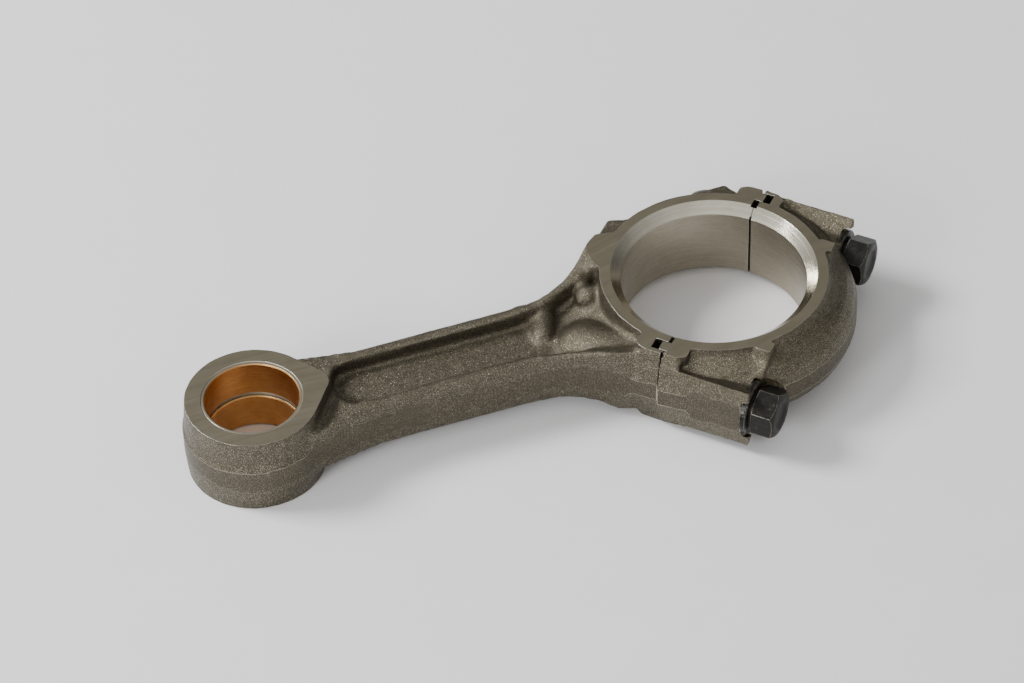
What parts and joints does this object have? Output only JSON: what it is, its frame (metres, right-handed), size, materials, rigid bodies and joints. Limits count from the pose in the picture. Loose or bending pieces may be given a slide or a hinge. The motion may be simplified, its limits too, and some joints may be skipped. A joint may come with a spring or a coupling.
{
  "type": "connecting rod",
  "caption": "Forged diesel connecting rod with an obliquely split big end, bolted cap, tongue and groove joint and bronze small-end bushes.",
  "frame": {"origin": "centre of the footprint, on the plane of the lower big-end face", "axes": "+X from the small end to the big end, +Z along both bores, upwards; the rod lies flat"},
  "size_m": [0.3486, 0.159, 0.044],
  "materials": {
    "forged_rod_steel": "shot-blasted forging, dark grey-brown, with ground satin faces and bores",
    "forged_cap_steel": "shot-blasted forging, dark grey-brown, with ground satin faces and bore",
    "bush_bronze": "fine-bored bronze, satin",
    "black_bolt_steel": "oiled black oxide, worn bright on the edges",
    "black_washer_steel": "oiled black oxide"
  },
  "bodies": {
    "rod": {"rod_body": "forged_rod_steel", "small_end_bush_upper": "bush_bronze", "small_end_bush_lower": "bush_bronze"},
    "cap": {"bearing_cap": "forged_cap_steel"},
    "washer_shank_side": {"bolt_washer_shank_side": "black_washer_steel"},
    "bolt_shank_side": {"cap_bolt_shank_side": "black_bolt_steel"},
    "washer_tip_side": {"bolt_washer_tip_side": "black_washer_steel"},
    "bolt_tip_side": {"cap_bolt_tip_side": "black_bolt_steel"}
  },
  "joints": [
    {"name": "cap_pull", "type": "slide", "parent": "rod", "child": "cap", "axis": [0.7071, -0.7071, 0], "range_m": [0, 0.06]},
    {"name": "bolt_draw_shank_side", "type": "slide", "parent": "cap", "child": "washer_shank_side", "axis": [0.7071, -0.7071, 0], "range_m": [0, 0.033]},
    {"name": "bolt_turn_shank_side", "type": "hinge", "parent": "washer_shank_side", "child": "bolt_shank_side", "pos_m": [0.04745, -0.0316, 0.022], "axis": [0.7071, -0.7071, 0], "range_deg": [0, 7920]},
    {"name": "bolt_draw_tip_side", "type": "slide", "parent": "cap", "child": "washer_tip_side", "axis": [0.7071, -0.7071, 0], "range_m": [0, 0.033]},
    {"name": "bolt_turn_tip_side", "type": "hinge", "parent": "washer_tip_side", "child": "bolt_tip_side", "pos_m": [0.12637, 0.04732, 0.022], "axis": [0.7071, -0.7071, 0], "range_deg": [0, 7920]}
  ],
  "couplings": [
    {"joint": "bolt_turn_shank_side", "follows": "bolt_draw_shank_side", "rad_per_m": 4188.8},
    {"joint": "bolt_turn_tip_side", "follows": "bolt_draw_tip_side", "rad_per_m": 4188.8}
  ]
}
